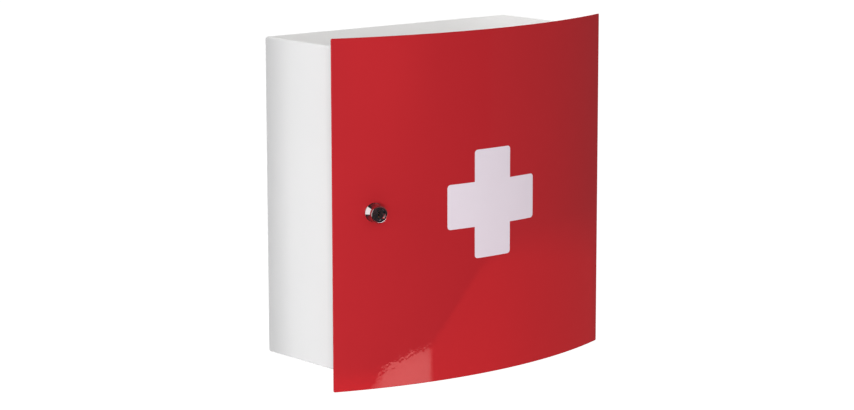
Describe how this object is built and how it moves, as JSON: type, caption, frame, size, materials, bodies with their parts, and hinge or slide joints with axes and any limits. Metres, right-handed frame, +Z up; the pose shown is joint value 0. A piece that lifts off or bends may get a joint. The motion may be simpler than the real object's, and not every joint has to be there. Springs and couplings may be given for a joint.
{
  "type": "lockable medicine cabinet",
  "caption": "Wall-hung steel medicine cabinet with shelves and a bowed red door that carries a plain white cross and turns on side hinges; a knob lock with a cam holds it shut.",
  "frame": {"origin": "on the wall plane, in the middle of the body's four wall holes", "axes": "+X to the right seen from the front, +Y back into the wall, +Z up"},
  "size_m": [0.405, 0.1873, 0.4],
  "materials": {
    "white_coat": "satin powder coat",
    "red_coat": "gloss powder coat",
    "label_film": "satin film",
    "chrome": "polished",
    "zinc": "zinc plated",
    "brass": "plain",
    "rubber": "matte"
  },
  "bodies": {
    "cabinet": {"body_shell": "white_coat", "back_panel": "white_coat", "strike_plate": "zinc", "door_buffers": "rubber", "rail_front_left": "white_coat", "rail_front_right": "white_coat", "rail_back_left": "white_coat", "rail_back_right": "white_coat", "upper_shelf": "white_coat", "lower_shelf": "white_coat", "upper_shelf_supports": "zinc", "lower_shelf_supports": "zinc", "upper_hinge_body_half": "white_coat", "lower_hinge_body_half": "white_coat", "upper_hinge_pin": "zinc", "lower_hinge_pin": "zinc", "upper_hinge_washer": "brass", "lower_hinge_washer": "brass"},
    "door": {"door_panel": "red_coat", "cross_label": "label_film", "door_top_cap": "red_coat", "door_bottom_cap": "red_coat", "door_lock_stiffener": "red_coat", "door_hinge_stiffener": "red_coat", "upper_hinge_door_half": "red_coat", "lower_hinge_door_half": "red_coat", "lock_knob": "chrome", "lock_washer": "zinc", "lock_nut": "zinc"},
    "lock_plug_and_cam": {"lock_plug": "chrome", "wafer_tumblers": "brass", "lock_cam": "zinc", "cam_washer": "zinc", "cam_screw": "zinc"}
  },
  "joints": [
    {"name": "door_hinge", "type": "hinge", "parent": "cabinet", "child": "door", "pos_m": [0.19, -0.144, 0], "axis": [0, 0, 1], "range_deg": [0, 110]},
    {"name": "lock_turn", "type": "hinge", "parent": "door", "child": "lock_plug_and_cam", "pos_m": [-0.1564, -0.16409, 0], "axis": [0.2869, 0.958, 0], "range_deg": [0, 90]}
  ]
}
